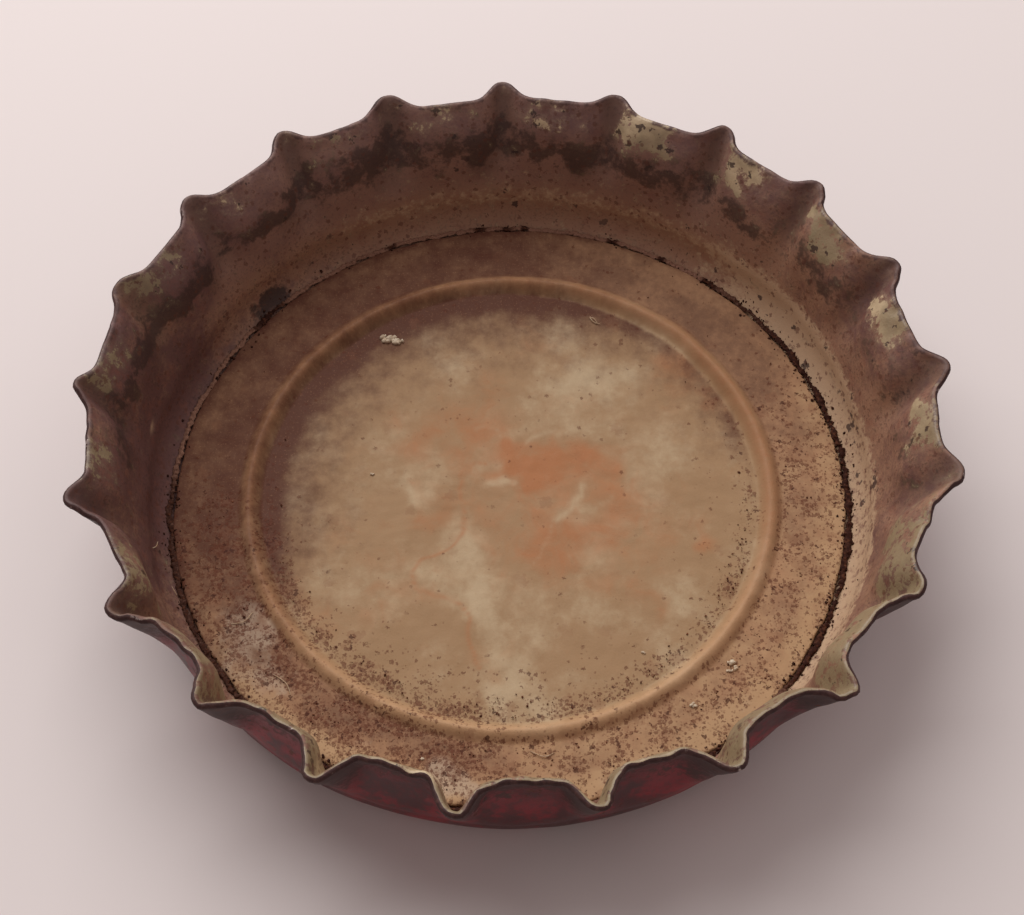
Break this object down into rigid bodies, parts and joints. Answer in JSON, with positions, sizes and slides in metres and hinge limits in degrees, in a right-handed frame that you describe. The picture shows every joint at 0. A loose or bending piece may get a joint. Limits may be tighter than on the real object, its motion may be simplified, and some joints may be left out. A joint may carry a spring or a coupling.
{
  "type": "crown bottle cap",
  "caption": "Used crown bottle cap lying open side up: fluted sheet metal shell with a moulded plastic sealing liner inside.",
  "frame": {"origin": "centre of the outer face of the cap's flat panel, which lies on the ground", "axes": "+Z along the cap's axis, from the panel towards the open rim; one tooth points to +Y"},
  "size_m": [0.0312, 0.031, 0.006],
  "materials": {
    "shell_metal": "worn red paint outside, dull lacquer, rust and dirt inside",
    "liner_plastic": "satin, stained and speckled with rust"
  },
  "bodies": {
    "root": {"crown_shell": "shell_metal", "liner": "liner_plastic"}
  },
  "joints": []
}
